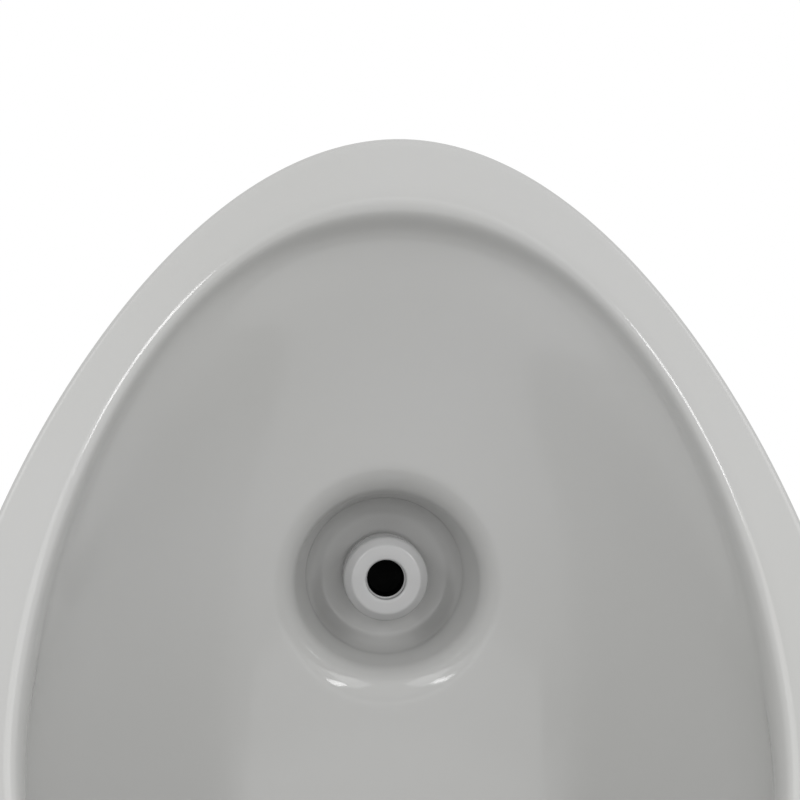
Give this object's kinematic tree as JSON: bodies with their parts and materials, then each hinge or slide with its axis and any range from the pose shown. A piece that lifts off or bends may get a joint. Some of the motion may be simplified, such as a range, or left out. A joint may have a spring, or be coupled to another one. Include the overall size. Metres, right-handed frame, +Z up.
{
  "type": "wall hung urinal",
  "caption": "Wall hung ceramic urinal: arched hood and rim, deep bowl, rear spray nozzle in a round recess, concealed trap and hidden wall fixings.",
  "frame": {"origin": "midway between the two wall studs, on the face of the wall", "axes": "+X to the right as seen from the front, +Y into the wall, so the urinal stands out towards -Y, +Z up"},
  "size_m": [0.3432, 0.3838, 0.6045],
  "materials": {
    "glaze": "smooth pale grey glaze, high gloss",
    "nozzle_finish": "same pale grey, glossy",
    "black_rubber": "moulded rubber",
    "brass": "turned brass",
    "bright_metal": "bright plated, polished",
    "grey_plastic": "moulded, matt",
    "white_plastic": "moulded, slight gloss",
    "zinc_steel": "zinc plated",
    "cap_plastic": "glaze coloured, glossy"
  },
  "bodies": {
    "urinal": {"ceramic_hood": "glaze", "ceramic_back": "glaze", "ceramic_bowl": "glaze", "ceramic_apron": "glaze", "spray_nozzle": "nozzle_finish", "nozzle_gasket": "black_rubber", "nozzle_washer": "black_rubber", "nozzle_backnut": "brass", "supply_seal": "black_rubber", "supply_union_nut": "brass", "supply_tube": "bright_metal", "waste_body": "bright_metal", "waste_upper_seal": "black_rubber", "waste_lower_seal": "black_rubber", "waste_backnut": "grey_plastic", "trap_union_seal": "black_rubber", "trap_union_nut": "grey_plastic", "trap_body": "white_plastic", "trap_cup_seal": "black_rubber", "trap_cup": "white_plastic", "outlet_pipe": "white_plastic", "outlet_seal": "black_rubber", "outlet_union_nut": "grey_plastic", "wall_cuff": "black_rubber", "wall_studs": "zinc_steel", "anchor_clips": "zinc_steel", "hanger_brackets": "zinc_steel", "hanger_pads": "black_rubber", "hanger_washers": "zinc_steel", "hanger_nuts": "zinc_steel", "lower_blocks": "white_plastic", "lower_wall_screws": "zinc_steel", "lower_wall_plugs": "grey_plastic", "side_sleeves": "white_plastic", "side_screws": "zinc_steel", "side_caps": "cap_plastic"},
    "strainer": {"drain_strainer": "bright_metal"}
  },
  "joints": [
    {"name": "strainer_lift", "type": "slide", "parent": "urinal", "child": "strainer", "axis": [0, 0, 1], "range_m": [0, 0.06]}
  ]
}
